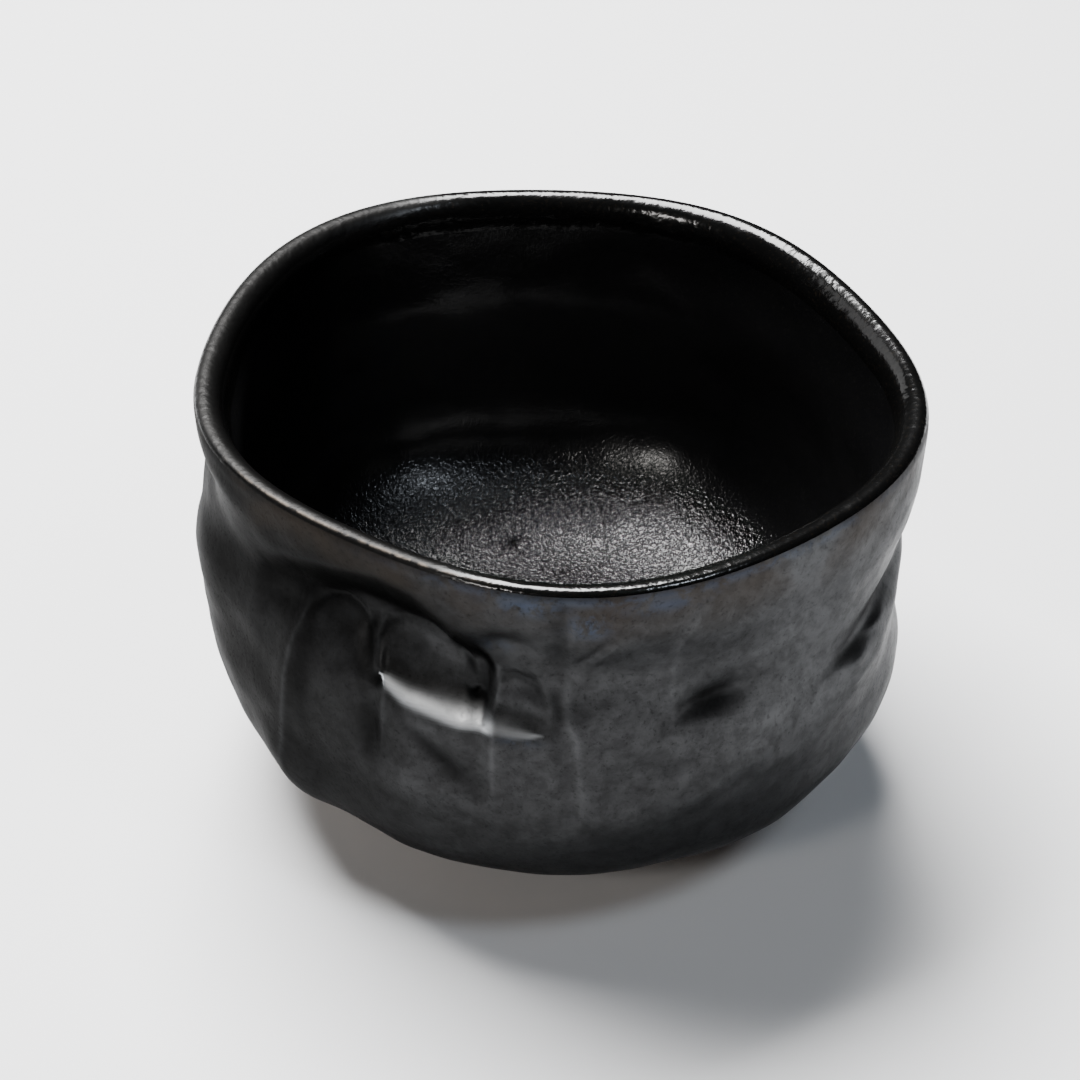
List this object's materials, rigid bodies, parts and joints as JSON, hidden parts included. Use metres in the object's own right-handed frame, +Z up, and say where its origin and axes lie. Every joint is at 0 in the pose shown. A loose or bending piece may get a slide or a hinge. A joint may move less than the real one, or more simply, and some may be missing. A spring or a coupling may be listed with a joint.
{
  "type": "tea bowl",
  "caption": "Hand-formed black tea bowl with finger dents under the rim, a soft five-cornered plan, glossy lip and a low foot ring.",
  "frame": {"origin": "on the surface the bowl stands on, in the middle of the bowl's outline", "axes": "+Z up; -Y is the front, with the row of finger dents; +X is the viewer's right, seen from the front"},
  "size_m": [0.1243, 0.1229, 0.08],
  "materials": {
    "bare_clay": "bare dark stoneware, dry and gritty",
    "fired_slip": "fired slip, dry",
    "leather_glaze": "black glaze, satin, with a leathery skin",
    "gloss_glaze": "black glaze, glossy, breaking to brown where it thins",
    "pewter_glaze": "pewter-grey glaze, satin, metallic"
  },
  "bodies": {
    "root": {"clay_wall": "bare_clay", "foot_ring": "bare_clay", "luting_slip": "fired_slip", "inner_glaze": "leather_glaze", "lip_glaze": "gloss_glaze", "outer_glaze": "pewter_glaze"}
  },
  "joints": []
}
